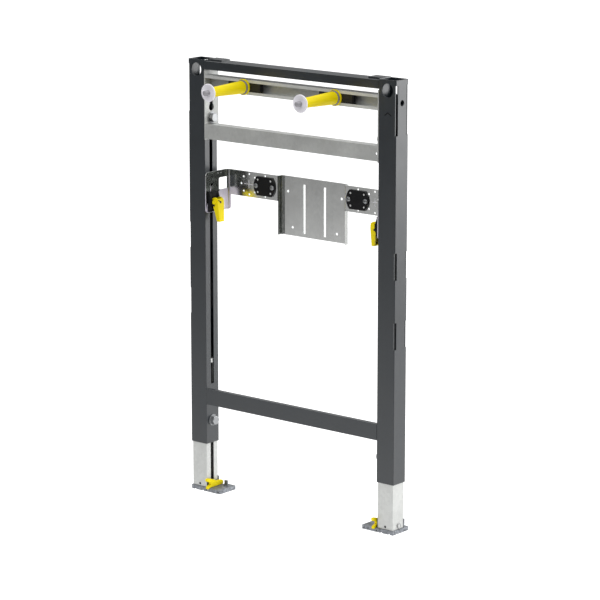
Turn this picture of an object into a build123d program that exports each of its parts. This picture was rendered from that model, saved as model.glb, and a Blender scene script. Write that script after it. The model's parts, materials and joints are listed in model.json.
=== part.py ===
from build123d import *
import os
from math import atan, cos, degrees, pi, radians, sin

os.makedirs("parts", exist_ok=True)

# Millimetres. x = 0 is the middle of the frame, y = 0 the front face of the posts
# and z = 0 the floor. A "drop" is measured down from the top of its own piece.

# the standing frame, with its feet pulled out as far as they are shown
frame_width = 490.0
frame_height = 835.0
foot_extension = 95.0

# posts: rolled steel tube
post_width = 39.0
post_depth = 36.0
post_wall = 2.0
post_corner_radius = 1.5
post_hole_dia = 25.0
post_hole_drop = 19.0
side_hole_dia = 11.0
side_hole_drop = 41.5
corner_slit_width = 5.7
corner_slit_length = 49.5
corner_slit_drops = (310.5, 438.0)
long_slit_drop = 9.4
long_slit_length = 89.6
track_width = 8.6
track_rise = 116.5
track_drop = 67.0

# crossbars, folded from sheet
top_bar_height = 15.5
top_bar_drop = 2.0
lower_bar_rise = 78.5
lower_bar_height = 30.5
lower_bar_depth = 9.0
bar_wall = 2.0
weld_plate_width = 33.0
weld_plate_depth = 24.0
weld_plate_thick = 4.0

# C-rails and the plates that carry their ends
rail_height = 28.0
rail_depth = 20.0
rail_wall = 2.0
rail_lip = 5.5
fixing_rail_drop = 56.0
support_rail_drop = 148.0
support_rail_hole_dia = 5.0
support_rail_hole_inset = 3.0
bracket_wall = 2.0
bracket_depth = 38.0
bracket_drop = 20.0
bracket_height = 130.0
keyhole_dia = 14.0
keyhole_drop = 70.0
keyhole_neck_width = 9.0
keyhole_neck_height = 12.5
bracket_bolt_drop = 89.3

# basin studs with their sleeves
stud_spacing = 216.0
stud_dia = 10.0
stud_core_dia = 8.5
stud_free_length = 9.9
sleeve_reach = 98.0
sleeve_base_dia = 24.0
sleeve_tip_dia = 17.0
sleeve_bore_dia = 11.0
flange_dia = 30.0
flange_thick = 4.0
neck_dia = 16.0
ring_dia = 27.0
ring_thick = 3.0
disc_dia = 33.0
disc_thick = 2.5
nut_length = 76.0
nut_thick = 8.0
nut_clearance = 0.3

# traverse: one bent sheet that rides on the posts
sheet = 2.0
traverse_drop = 213.0
arm_front_y = 62.6
step_depth = 10.8
arm_height = 48.0
leg_height = 77.0
centre_height = 112.0
centre_width = 160.0
leg_front_y = 1.0
leg_bend_radius = 10.0
step_bend_radius = 5.0
leg_corner_radius = 7.0
wrap_corner_radius = 6.0
tap_inner_x = 111.0
tap_circle_dia = 39.0
tap_hole_dia = 4.2
tap_plate_dia = 51.0
tap_plate_flats = 36.0
tap_plate_thick = 3.0
tap_plate_hole_turn = 37.0
centre_slot_spacing = 49.0
centre_slot_width = 5.5
centre_slot_drop = 12.3
centre_slot_length = 93.4
centre_hole_dia = 5.5
centre_hole_places = ((64.0, 29.0), (53.0, 96.3))
window_front_y = 38.0
window_rear_gap = 2.1
window_drop = 14.0
window_height = 23.0
window_corner_radius = 3.0
leg_hole_dia = 6.5
leg_hole_drop = 24.6
pip_hole_dia = 3.0
pip_hole_drop = 5.0
pip_hole_ys = (4.5, 36.3, 44.5)

# clamps that lock the traverse in the post tracks
clamp_drop = 55.5
clamp_width = 26.0
clamp_plate_thick = 5.0
clamp_rise = 19.0
clamp_fall = 19.5
clamp_rib = 4.0
clamp_rib_reach = 9.5
pivot_reach = 14.0
knuckle_dia = 9.0
pivot_dia = 4.0
pin_clearance = 0.4
lever_head_dia = 17.0
lever_width = 17.0
lever_tip_width = 13.0
lever_cheek = 3.0
lever_web_gap = 1.0
lever_length = 37.5
lever_tip_thick = 6.3
lever_slot_fall = 13.0
boss_dia = 8.0
boss_reach = 2.5
boss_cap = 1.2
lever_shell = 2.5
clamp_bolt_dia = 8.0
clamp_head_size = (4.8, 20.0, 12.0)

# feet
foot_clearance = 0.05
foot_wall = 2.0
foot_tube_length = 252.0
foot_slot_width = 9.0
foot_slot_rise = 12.0
foot_slot_drop = 8.0
foot_plate_length = 71.6
foot_plate_depth = 46.0
foot_plate_thick = 8.0
foot_skin = 3.0
foot_rib = 4.0
foot_notch = 4.0
foot_tab_height = 16.0
foot_tab_thick = 2.5
foot_lug_width = 7.0
foot_lug_depth = 3.0
foot_lug_height = 8.5
foot_lug_inset = 50.0
foot_lug_y = 38.0
foot_pin_dia = 5.0
foot_pin_rise = 6.5
foot_pin_head_dia = 10.5
foot_pin_head = 1.5
foot_collar_dia = 9.0
foot_front_hole_dia = 5.0
foot_front_hole_rise = 4.8
foot_lever_width = 5.5
foot_lever_gap = 3.1
foot_lever_lift = 0.6
foot_lever_pocket = 4.5
foot_lever_cap = 1.5
foot_screw_rise = 44.5
foot_screw_dia = 8.0
floor_hole_dia = 9.0
floor_hole_inset = 58.0
floor_hole_y = 31.0

# hexagon screws
hex_flats = 13.0
hex_height = 7.5
washer_dia = 17.0
washer_thick = 1.6
screw_clearance = 0.4

# places that follow from the sizes above
half_width = frame_width / 2
inner_face = half_width - post_width
post_x = half_width - post_width / 2
mid_y = post_depth / 2
post_bottom_z = foot_extension
rear_y = arm_front_y + step_depth + sheet
stud_x = stud_spacing / 2
stud_front_y = -(sleeve_reach + disc_thick + stud_free_length)

# the origin lies under the middle of the whole depth
depth_shift = -(stud_front_y + rear_y) / 2


def save(shape, name):
    export_step(Pos(0, depth_shift, 0) * shape, "parts/" + name + ".step")


def block(x0, x1, y0, y1, z0, z1):
    corner = Pos((x0 + x1) / 2, (y0 + y1) / 2, (z0 + z1) / 2)
    return corner * Box(abs(x1 - x0), abs(y1 - y0), abs(z1 - z0))


def rod_x(x0, x1, y, z, dia):
    return Pos((x0 + x1) / 2, y, z) * Rot(0, 90, 0) * Cylinder(dia / 2, abs(x1 - x0))


def rod_y(x, y0, y1, z, dia):
    return Pos(x, (y0 + y1) / 2, z) * Rot(90, 0, 0) * Cylinder(dia / 2, abs(y1 - y0))


def rod_z(x, y, z0, z1, dia):
    return Pos(x, y, (z0 + z1) / 2) * Cylinder(dia / 2, z1 - z0)


# small holes and hidden cores that repeat have flat sides, which keeps the facets few
def sided_x(x0, x1, y, z, dia, sides=12):
    body = extrude(RegularPolygon(dia / 2, sides), amount=abs(x1 - x0))
    return Pos(min(x0, x1), y, z) * Rot(0, 90, 0) * body


def sided_y(x, y0, y1, z, dia, sides=12):
    body = extrude(RegularPolygon(dia / 2, sides), amount=abs(y1 - y0))
    return Pos(x, max(y0, y1), z) * Rot(90, 0, 0) * body


# a flat outline in x and z, given depth along y
def prism_y(outline, y0, y1):
    return extrude(Plane.XZ.offset(-y0) * outline, amount=y1 - y0, dir=(0, 1, 0))


# a flat outline in y and z, given depth along x
def prism_x(outline, x0, x1):
    return extrude(Plane.YZ.offset(x0) * outline, amount=x1 - x0, dir=(1, 0, 0))


# a round outline for prism_y, with flat sides too
def disc_outline(x, z, dia, sides=32):
    return Pos(x, z) * RegularPolygon(dia / 2, sides)


def rectangle(a0, a1, b0, b1):
    return Pos((a0 + a1) / 2, (b0 + b1) / 2) * Rectangle(a1 - a0, b1 - b0)


def mirrored(shape, side):
    return shape if side > 0 else mirror(shape, about=Plane.YZ)


# posts

def post():
    x0, x1 = inner_face, half_width
    body = block(x0, x1, 0, post_depth, post_bottom_z, frame_height)
    body = fillet(body.edges().filter_by(Axis.Z), post_corner_radius)
    body -= block(x0 + post_wall, x1 - post_wall, post_wall, post_depth - post_wall,
                  post_bottom_z - 1, frame_height + 1)
    body -= rod_y(post_x, -1, post_depth + 1, frame_height - post_hole_drop, post_hole_dia)
    body -= rod_x(x1 - post_wall - 1, x1 + 1, mid_y, frame_height - side_hole_drop, side_hole_dia)
    slits = [(long_slit_drop, long_slit_length)]
    slits += [(drop, corner_slit_length) for drop in corner_slit_drops]
    for drop, length in slits:
        top = frame_height - drop
        for y0, y1 in ((-1, corner_slit_width), (post_depth - corner_slit_width, post_depth + 1)):
            body -= block(x1 - post_wall, x1 + 1, y0, y1, top - length, top)
    body -= block(x0 - 1, x0 + post_wall + 1, mid_y - track_width / 2, mid_y + track_width / 2,
                  post_bottom_z + track_rise, frame_height - track_drop)
    body -= sided_x(x0 - 1, x0 + post_wall + 1, mid_y, post_bottom_z + foot_screw_rise,
                    foot_screw_dia + screw_clearance)
    return body


# crossbars between the posts

def top_crossbar():
    z1 = frame_height - top_bar_drop
    z0 = z1 - top_bar_height
    body = block(-inner_face, inner_face, 0, post_depth, z0, z1)
    return body - block(-inner_face - 1, inner_face + 1, bar_wall, post_depth - bar_wall,
                        z0 - 1, z1 - bar_wall)


def lower_crossbar():
    z0 = post_bottom_z + lower_bar_rise
    z1 = z0 + lower_bar_height
    body = block(-inner_face, inner_face, 0, lower_bar_depth, z0, z1)
    return body - block(-inner_face - 1, inner_face + 1, bar_wall, lower_bar_depth + 1,
                        z0 + bar_wall, z1 - bar_wall)


def weld_plate():
    z0 = frame_height - top_bar_drop
    return block(inner_face - weld_plate_width, inner_face, post_depth - weld_plate_depth,
                 post_depth, z0, z0 + weld_plate_thick)


# rails and their end brackets

rail_end = inner_face - bracket_wall
rail_slot = rail_height - 2 * rail_lip
fixing_rail_z = frame_height - fixing_rail_drop
support_rail_z = frame_height - support_rail_drop
stud_z = fixing_rail_z + rail_height / 2
bracket_top_z = frame_height - bracket_drop
bracket_bolt_z = bracket_top_z - bracket_bolt_drop


def rail(z0, open_front):
    outer = rectangle(0, rail_depth, z0, z0 + rail_height)
    inner = rectangle(rail_wall, rail_depth - rail_wall, z0 + rail_wall, z0 + rail_height - rail_wall)
    y0, y1 = (0, rail_wall) if open_front else (rail_depth - rail_wall, rail_depth)
    slot = rectangle(y0, y1, z0 + rail_lip, z0 + rail_height - rail_lip)
    return prism_x(outer - inner - slot, -rail_end, rail_end)


def fixing_rail():
    return rail(fixing_rail_z, True)


def support_rail():
    hole_x = rail_end - support_rail_hole_inset
    hole_z = support_rail_z + rail_height / 2
    return rail(support_rail_z, False) - sided_y(hole_x, -1, rail_wall + 1, hole_z,
                                                 support_rail_hole_dia)


def rail_bracket():
    z1 = bracket_top_z
    x0, x1 = rail_end - 1, inner_face + 1
    key_z = z1 - keyhole_drop
    body = block(rail_end, inner_face, 0, bracket_depth, z1 - bracket_height, z1)
    body -= rod_x(x0, x1, mid_y, key_z, keyhole_dia)
    body -= block(x0, x1, mid_y - keyhole_neck_width / 2, mid_y + keyhole_neck_width / 2,
                  key_z, key_z + keyhole_neck_height)
    return body - sided_x(x0, x1, mid_y, bracket_bolt_z, foot_screw_dia + screw_clearance)


# a hexagon screw whose washer lies on the face at x_face and whose shank runs outwards
def hex_screw(x_face, shank, z, dia):
    body = sided_x(x_face - washer_thick, x_face, mid_y, z, washer_dia, 24)
    hex_x = x_face - washer_thick - hex_height
    hexagon = extrude(RegularPolygon(hex_flats / 2, 6, major_radius=False), amount=hex_height)
    body += Pos(hex_x, mid_y, z) * Rot(0, 90, 0) * hexagon
    return body + sided_x(x_face - 1, x_face + shank, mid_y, z, dia)


def bracket_bolt():
    return hex_screw(rail_end, bracket_wall + post_wall + 6, bracket_bolt_z, foot_screw_dia)


def foot_screw():
    return hex_screw(inner_face, post_wall + 8, post_bottom_z + foot_screw_rise, foot_screw_dia)


# basin studs

ring_back_y = -flange_thick
ring_front_y = ring_back_y - ring_thick


def sleeve():
    length = sleeve_reach + ring_front_y
    slope = degrees(atan((sleeve_base_dia - sleeve_tip_dia) / 2 * cos(pi / 32) / length))
    cone = extrude(RegularPolygon(sleeve_base_dia / 2, 32), amount=length, taper=slope)
    body = Pos(stud_x, ring_front_y, stud_z) * Rot(90, 0, 0) * cone
    body += sided_y(stud_x, ring_back_y, 0, stud_z, flange_dia, 32)
    body += sided_y(stud_x, ring_front_y, ring_back_y, stud_z, neck_dia)
    return body - sided_y(stud_x, -sleeve_reach - 1, 1, stud_z, sleeve_bore_dia)


def sleeve_ring():
    return sided_y(stud_x, ring_front_y, ring_back_y, stud_z, ring_dia, 24) - sided_y(
        stud_x, ring_front_y - 1, ring_back_y + 1, stud_z, neck_dia)


def sleeve_disc():
    front = -sleeve_reach - disc_thick
    return sided_y(stud_x, front, -sleeve_reach, stud_z, disc_dia, 24) - sided_y(
        stud_x, front - 1, -sleeve_reach + 1, stud_z, stud_core_dia)


def stud():
    free_end = rod_y(stud_x, stud_front_y, stud_front_y + stud_free_length, stud_z, stud_dia)
    core = sided_y(stud_x, stud_front_y + stud_free_length, rail_wall + nut_thick, stud_z,
                   stud_core_dia)
    return free_end + core


def rail_nut():
    x0, x1 = stud_x - nut_length / 2, stud_x + nut_length / 2
    lip_half = rail_slot / 2 - nut_clearance
    inner_half = rail_height / 2 - rail_wall - nut_clearance
    body = block(x0, x1, 0, rail_wall, stud_z - lip_half, stud_z + lip_half)
    body += block(x0, x1, rail_wall, rail_wall + nut_thick, stud_z - inner_half, stud_z + inner_half)
    return body - sided_y(stud_x, -1, rail_wall + nut_thick + 1, stud_z, stud_core_dia)


# traverse

traverse_top_z = frame_height - traverse_drop
tap_outer_x = tap_inner_x + tap_circle_dia
tap_z = traverse_top_z - arm_height / 2
clamp_z = traverse_top_z - clamp_drop
recess_y = arm_front_y + step_depth
wrap_x = inner_face - leg_bend_radius + 0.5


# the sheet seen from above: legs, arms and the recessed middle, along its centre line
def traverse_plan():
    x_leg = inner_face - sheet / 2
    x_step = centre_width / 2 - sheet / 2
    y_arm = arm_front_y + sheet / 2
    y_back = recess_y + sheet / 2
    right = [(x_step, y_back), (x_step, y_arm), (x_leg, y_arm), (x_leg, leg_front_y)]
    left = [(-x, y) for x, y in reversed(right)]
    line = Wire(Polyline(*left, *right).edges())
    legs = [v for v in line.vertices() if abs(abs(v.X) - x_leg) < 0.1 and v.Y > leg_front_y + 1]
    line = line.fillet_2d(leg_bend_radius - sheet / 2, legs)
    steps = [v for v in line.vertices() if abs(abs(v.X) - x_step) < 0.1]
    line = line.fillet_2d(step_bend_radius - sheet / 2, steps)
    return trace(line, line_width=sheet)


# the same sheet seen from the front: its lower edge steps down at the middle and the legs
def traverse_front():
    z1 = traverse_top_z
    outline = rectangle(-inner_face - 1, inner_face + 1, z1 - arm_height, z1)
    outline += rectangle(-centre_width / 2, centre_width / 2, z1 - centre_height, z1)
    for side in (-1, 1):
        x_in, x_out = side * wrap_x, side * (inner_face + 1)
        leg = rectangle(min(x_in, x_out), max(x_in, x_out), z1 - leg_height, z1 - arm_height + 1)
        low_inner = [v for v in leg.vertices() if abs(v.X - x_in) < 0.1 and v.Y < z1 - leg_height + 0.1]
        outline += fillet(low_inner, wrap_corner_radius)
    return outline


# and from the side: the front corners of the legs are round
def traverse_side():
    z1 = traverse_top_z
    leg = rectangle(leg_front_y, arm_front_y, z1 - leg_height, z1)
    front = [v for v in leg.vertices() if v.X < leg_front_y + 0.1]
    return fillet(front, leg_corner_radius) + rectangle(
        arm_front_y - leg_bend_radius, recess_y + sheet + 1, z1 - centre_height, z1)


def traverse():
    z1 = traverse_top_z
    y0, y1 = arm_front_y - 1, recess_y + sheet + 1
    body = Pos(0, 0, z1 - centre_height) * extrude(traverse_plan(), amount=centre_height)
    body = body & prism_y(traverse_front(), 0, y1)
    body = body & prism_x(traverse_side(), -inner_face - 1, inner_face + 1)
    window = rectangle(window_front_y, arm_front_y - window_rear_gap,
                       z1 - window_drop - window_height, z1 - window_drop)
    window = fillet([v for v in window.vertices() if v.X < window_front_y + 0.1],
                    window_corner_radius)
    for side in (-1, 1):
        leg_in, leg_out = side * (inner_face - leg_bend_radius), side * (inner_face + 1)
        body -= prism_x(window, min(leg_in, leg_out), max(leg_in, leg_out))
        for step in range(8):
            turn = radians(45 * step)
            dx, dz = tap_circle_dia / 2 * cos(turn), tap_circle_dia / 2 * sin(turn)
            body -= rod_y(side * tap_outer_x + dx, y0, y1, tap_z + dz, tap_hole_dia)
            # the two circles share the hole that lies between them
            if step != 0 if side > 0 else step != 4:
                body -= sided_y(side * tap_inner_x + dx, y0, y1, tap_z + dz, tap_hole_dia)
        for x, drop in centre_hole_places:
            body -= sided_y(side * x, y0, y1, z1 - drop, centre_hole_dia)
        slot_x = side * centre_slot_spacing / 2
        slot_z = z1 - centre_slot_drop
        body -= block(slot_x - centre_slot_width / 2, slot_x + centre_slot_width / 2, y0, y1,
                      slot_z - centre_slot_length, slot_z)
        body -= sided_x(leg_in, leg_out, mid_y, clamp_z, clamp_bolt_dia + screw_clearance)
        body -= sided_x(leg_in, leg_out, mid_y, z1 - leg_hole_drop, leg_hole_dia)
        for y in pip_hole_ys:
            body -= sided_x(leg_in, leg_out, y, z1 - pip_hole_drop, pip_hole_dia, 8)
    return body


def tap_plate():
    y0, y1 = arm_front_y - tap_plate_thick, arm_front_y
    outline = disc_outline(tap_inner_x, tap_z, tap_plate_dia, 36)
    outline &= Pos(tap_inner_x, tap_z) * Rectangle(2 * tap_plate_dia, tap_plate_flats)
    body = prism_y(outline, y0, y1)
    reach = tap_circle_dia / 2
    dz = reach * sin(radians(tap_plate_hole_turn))
    for dx in (-reach * cos(radians(tap_plate_hole_turn)), reach * cos(radians(tap_plate_hole_turn))):
        for z in (tap_z - dz, tap_z + dz):
            body -= sided_y(tap_inner_x + dx, y0 - 1, y1 + 1, z, tap_hole_dia)
    # its two screws pass through it on the circle's level diameter
    for dx in (-reach, reach):
        body -= sided_y(tap_inner_x + dx, y0 - 1, y1 + 1, tap_z, tap_hole_dia)
    return body


# clamps

clamp_face = inner_face - sheet
plate_x = clamp_face - clamp_plate_thick
pivot_x = clamp_face - pivot_reach
cheek_gap = lever_width - 2 * lever_cheek
knuckle_width = cheek_gap - 2 * nut_clearance
web_x = pivot_x - knuckle_dia / 2 - lever_web_gap


def clamp_housing():
    y0, y1 = mid_y - clamp_width / 2, mid_y + clamp_width / 2
    body = prism_y(rectangle(plate_x, clamp_face, clamp_z - clamp_fall, clamp_z + clamp_rise), y0, y1)
    # a slanted rib on either side of the lever
    rib = Polygon((plate_x + 1, clamp_z + clamp_rise), (clamp_face - clamp_rib_reach, clamp_z + 3),
                  (clamp_face - clamp_rib_reach, clamp_z - 3), (plate_x + 1, clamp_z - clamp_fall),
                  align=None)
    body += prism_y(rib, y0, y0 + clamp_rib) + prism_y(rib, y1 - clamp_rib, y1)
    # the knuckle that carries the lever's pin
    foot_line = Line((plate_x + 1, clamp_z), (plate_x + 1, clamp_z - clamp_fall + 4))
    circle = disc_outline(pivot_x, clamp_z, knuckle_dia, 24)
    knuckle = make_hull(circle.edges() + foot_line.edges())
    body += prism_y(knuckle, mid_y - knuckle_width / 2, mid_y + knuckle_width / 2)
    body -= sided_y(pivot_x, mid_y - clamp_width, mid_y + clamp_width, clamp_z, pivot_dia)
    return body - sided_x(plate_x + 1, clamp_face + 1, mid_y, clamp_z, clamp_bolt_dia)


def clamp_bolt():
    head_x, head_y, head_z = clamp_head_size
    inside = inner_face + post_wall + screw_clearance / 2
    head = block(inside, inside + head_x, mid_y - head_y / 2, mid_y + head_y / 2,
                 clamp_z - head_z / 2, clamp_z + head_z / 2)
    return head + sided_x(plate_x + 1, inside, mid_y, clamp_z, clamp_bolt_dia)


def clamp_lever():
    side = lever_width / 2
    low_z = clamp_z - lever_length
    outer_x = pivot_x - lever_head_dia / 2
    # seen from the front: a round head and a handle that grows thinner to its tip
    handle = Polygon((outer_x, clamp_z), (pivot_x + lever_head_dia / 2 - 3, clamp_z - 5),
                     (pivot_x + 2, clamp_z - 17), (outer_x + lever_tip_thick, low_z),
                     (outer_x, low_z), align=None)
    head = disc_outline(pivot_x, clamp_z, lever_head_dia)
    body = prism_y(head + handle, mid_y - side, mid_y + side)
    # seen from the side: one edge slants in to the tip
    slant = Polygon((mid_y - side - 1, low_z - 1), (mid_y + side - lever_tip_width, low_z - 1),
                    (mid_y - side, clamp_z - 6), (mid_y - side - 1, clamp_z - 6), align=None)
    body -= prism_x(slant, outer_x - 5, pivot_x + lever_head_dia)
    body -= block(web_x, pivot_x + lever_head_dia, mid_y - cheek_gap / 2, mid_y + cheek_gap / 2,
                  clamp_z - lever_slot_fall, clamp_z + lever_head_dia)
    body += sided_y(pivot_x, mid_y - side - boss_reach, mid_y - side, clamp_z, boss_dia, 24)
    body -= sided_y(pivot_x, mid_y - side - boss_reach + boss_cap, mid_y + side + 1, clamp_z,
                    pivot_dia + pin_clearance)
    # the handle is hollow on the side that faces the post
    hollow = rectangle(outer_x + lever_shell, pivot_x + lever_head_dia, low_z + lever_shell,
                       clamp_z - lever_slot_fall - lever_shell)
    return body - prism_y(hollow, mid_y + side - lever_tip_width + lever_shell,
                          mid_y + side - lever_shell)


def clamp_pin():
    side = lever_width / 2
    return sided_y(pivot_x, mid_y - side - boss_reach + boss_cap, mid_y + side, clamp_z, pivot_dia)


# feet: a tube that slides in the post, on a cast plate

tube_x0 = inner_face + post_wall + foot_clearance
tube_x1 = half_width - post_wall - foot_clearance
tube_y0 = post_wall + foot_clearance
tube_y1 = post_depth - post_wall - foot_clearance
tube_top_z = foot_plate_thick + foot_tube_length
foot_pin_y = mid_y + 2
foot_pin_z = foot_plate_thick + foot_pin_rise
lever_x1 = tube_x0 - foot_lever_gap
lever_x0 = lever_x1 - foot_lever_width


def foot_tube():
    body = block(tube_x0, tube_x1, tube_y0, tube_y1, foot_plate_thick, tube_top_z)
    body -= block(tube_x0 + foot_wall, tube_x1 - foot_wall, tube_y0 + foot_wall,
                  tube_y1 - foot_wall, foot_plate_thick - 1, tube_top_z + 1)
    body -= block(tube_x0 - 1, tube_x0 + foot_wall + 1, mid_y - foot_slot_width / 2,
                  mid_y + foot_slot_width / 2, foot_plate_thick + foot_slot_rise,
                  tube_top_z - foot_slot_drop)
    body -= sided_x(tube_x0 - 1, tube_x1 + 1, foot_pin_y, foot_pin_z, foot_pin_dia)
    return body - sided_y(post_x, tube_y0 - 1, tube_y0 + foot_wall + 1,
                          foot_plate_thick + foot_front_hole_rise, foot_front_hole_dia)


def foot_plate():
    x0, x1 = half_width - foot_plate_length, half_width
    floor_hole_x = half_width - floor_hole_inset
    body = block(x0, x1, 0, foot_plate_depth, 0, foot_plate_thick)
    # the casting is ribbed underneath, but solid beside the tube, round the floor bolt
    solid_x = tube_x0
    cells = 2
    cell = (x1 - foot_rib - solid_x - (cells - 1) * foot_rib) / cells
    deep = (foot_plate_depth - 3 * foot_rib) / 2
    for column in range(cells):
        for row in range(2):
            x = solid_x + column * (cell + foot_rib)
            y = foot_rib + row * (deep + foot_rib)
            body -= block(x, x + cell, y, y + deep, -1, foot_plate_thick - foot_skin)
            if row == 0:
                body -= block(x + cell / 2, x + cell / 2 + foot_notch, -1, foot_rib + 1,
                              -1, foot_notch / 2)
    body -= block(x1 - foot_rib - 1, x1 + 1, foot_plate_depth / 4, foot_plate_depth / 4 + foot_notch,
                  -1, foot_notch / 2)
    body -= rod_z(floor_hole_x, floor_hole_y, -1, foot_plate_thick + 1, floor_hole_dia)
    # the lever's rear end dips into a pocket
    body -= block(lever_x0 - foot_lever_lift, lever_x1 + foot_lever_lift, foot_pin_y + 1,
                  foot_plate_depth + 1, foot_plate_thick - foot_lever_pocket, foot_plate_thick + 1)
    lug_x = half_width - foot_lug_inset
    body += block(lug_x - foot_lug_width, lug_x, foot_lug_y, foot_lug_y + foot_lug_depth,
                  foot_plate_thick - 1, foot_plate_thick + foot_lug_height)
    # an upright tab behind the tube
    return body + block(tube_x0 - 1, tube_x1 + 1, tube_y1, tube_y1 + foot_tab_thick,
                        foot_plate_thick, foot_plate_thick + foot_tab_height)


def foot_pin():
    body = sided_x(lever_x0 + foot_lever_cap, tube_x1 + foot_pin_head, foot_pin_y, foot_pin_z,
                   foot_pin_dia)
    body += sided_x(lever_x1 + screw_clearance, tube_x0, foot_pin_y, foot_pin_z, foot_collar_dia)
    return body + sided_x(tube_x1, tube_x1 + foot_pin_head, foot_pin_y, foot_pin_z,
                          foot_pin_head_dia, 16)


# the release lever is a bar with a forked front end, turning on the pin beside the tube
def foot_lever():
    z0 = foot_plate_thick + foot_lever_lift
    outline = Polygon((-0.9, z0), (-1.2, z0 - 2), (-4.8, z0 - 2), (-4.3, z0 + 2.2), (4.1, z0 + 5.5),
                      (3.2, z0 + 10.2), (-6.2, z0 + 13.2), (-6.2, z0 + 18.5), (1.3, z0 + 18.0),
                      (18.3, z0 + 12.0), (22.7, z0 + 8.5), (29.0, z0 + 9), (38.0, z0 + 8),
                      (40.4, z0 + 5), (39.5, z0), align=None)
    return prism_x(outline, lever_x0, lever_x1) - sided_x(
        lever_x0 + foot_lever_cap - screw_clearance, lever_x1 + 1, foot_pin_y, foot_pin_z,
        foot_pin_dia + pin_clearance)


middle_pieces = {
    "top_crossbar": top_crossbar,
    "lower_crossbar": lower_crossbar,
    "fixing_rail": fixing_rail,
    "support_rail": support_rail,
    "traverse": traverse,
}
side_pieces = {
    "post": post,
    "weld_plate": weld_plate,
    "rail_bracket": rail_bracket,
    "bracket_bolt": bracket_bolt,
    "foot_screw": foot_screw,
    "sleeve": sleeve,
    "sleeve_ring": sleeve_ring,
    "sleeve_disc": sleeve_disc,
    "stud": stud,
    "rail_nut": rail_nut,
    "tap_plate": tap_plate,
    "clamp_housing": clamp_housing,
    "clamp_bolt": clamp_bolt,
    "clamp_lever": clamp_lever,
    "clamp_pin": clamp_pin,
    "foot_tube": foot_tube,
    "foot_plate": foot_plate,
    "foot_pin": foot_pin,
    "foot_lever": foot_lever,
}

for name, make in middle_pieces.items():
    save(make(), name)
for name, make in side_pieces.items():
    right_piece = make()
    save(right_piece, "right_" + name)
    save(mirrored(right_piece, -1), "left_" + name)
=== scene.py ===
import bpy
import bmesh
import json
import math
from mathutils import Matrix, Vector
from mathutils.geometry import tessellate_polygon


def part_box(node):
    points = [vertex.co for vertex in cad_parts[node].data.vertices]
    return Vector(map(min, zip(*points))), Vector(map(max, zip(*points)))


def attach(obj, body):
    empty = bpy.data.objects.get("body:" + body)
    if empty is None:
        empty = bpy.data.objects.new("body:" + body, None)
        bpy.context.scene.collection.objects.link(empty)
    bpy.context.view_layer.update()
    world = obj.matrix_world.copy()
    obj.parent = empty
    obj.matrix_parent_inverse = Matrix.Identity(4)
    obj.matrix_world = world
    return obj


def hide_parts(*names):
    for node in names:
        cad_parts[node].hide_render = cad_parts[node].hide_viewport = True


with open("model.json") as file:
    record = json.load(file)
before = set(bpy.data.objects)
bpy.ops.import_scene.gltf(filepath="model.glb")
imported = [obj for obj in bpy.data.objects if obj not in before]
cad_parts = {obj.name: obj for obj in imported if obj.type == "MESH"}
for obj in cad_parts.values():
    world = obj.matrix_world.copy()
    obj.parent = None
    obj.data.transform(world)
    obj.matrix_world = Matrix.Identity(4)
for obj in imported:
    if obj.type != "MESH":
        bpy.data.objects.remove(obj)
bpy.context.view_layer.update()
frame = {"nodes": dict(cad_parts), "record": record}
nodes = frame["nodes"]
sides = (("left", -1), ("right", 1))
opposite = {"left": "right", "right": "left"}
mm = 0.001
print("frame loaded")


# shader helpers
def makeGroup(name, inputs, outputs):
    group = bpy.data.node_groups.new(name, "ShaderNodeTree")
    for label, kind, value in inputs:
        socket = group.interface.new_socket(label, in_out="INPUT", socket_type=kind)
        socket.default_value = value
    for label, kind in outputs:
        group.interface.new_socket(label, in_out="OUTPUT", socket_type=kind)
    return group, group.nodes.new("NodeGroupInput"), group.nodes.new("NodeGroupOutput")


def setInputs(tree, node, links):
    for key, value in links.items():
        if isinstance(value, bpy.types.NodeSocket):
            tree.links.new(value, node.inputs[key])
        else:
            node.inputs[key].default_value = value


def addNode(tree, kind, links=None, **values):
    node = tree.nodes.new(kind)
    for key, value in values.items():
        setattr(node, key, value)
    setInputs(tree, node, links or {})
    return node


def useGroup(tree, group, links):
    node = tree.nodes.new("ShaderNodeGroup")
    node.node_tree = group
    setInputs(tree, node, links)
    return node


def mathNode(tree, operation, first, second=0.0, clamp=False):
    node = addNode(tree, "ShaderNodeMath", {0: first, 1: second}, operation=operation, use_clamp=clamp)
    return node.outputs[0]


def rangeNode(tree, value, fromMin, fromMax, toMin=0.0, toMax=1.0):
    links = {"Value": value, "From Min": fromMin, "From Max": fromMax, "To Min": toMin, "To Max": toMax}
    return addNode(tree, "ShaderNodeMapRange", links).outputs["Result"]


def noiseNode(tree, coordinate, scale, detail):
    links = {"Vector": coordinate, "Scale": scale, "Detail": detail}
    return addNode(tree, "ShaderNodeTexNoise", links).outputs[0]


def distanceNode(tree, place, centre):
    links = {0: place, 1: (*centre, 0.0)}
    return addNode(tree, "ShaderNodeVectorMath", links, operation="DISTANCE").outputs["Value"]


def scaleNode(tree, vector, factor):
    return addNode(tree, "ShaderNodeVectorMath", {0: vector, "Scale": factor}, operation="SCALE").outputs[0]


def mixNode(tree, mask, amount, under, over):
    # 6, 7 and 2 are the node's colour sockets
    links = {"Factor": mathNode(tree, "MULTIPLY", mask, amount), 6: under, 7: (*over, 1.0)}
    return addNode(tree, "ShaderNodeMix", links, data_type="RGBA").outputs[2]


def objectPlace(tree):
    return addNode(tree, "ShaderNodeTexCoord").outputs["Object"]


def textureScale(tree, size):
    return mathNode(tree, "DIVIDE", 1000.0, size)  # from a size in mm


# broad drift of tone from place to place
mottleValues = {"noise": (0.3, 0.7), "detail": 4.0}


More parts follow.
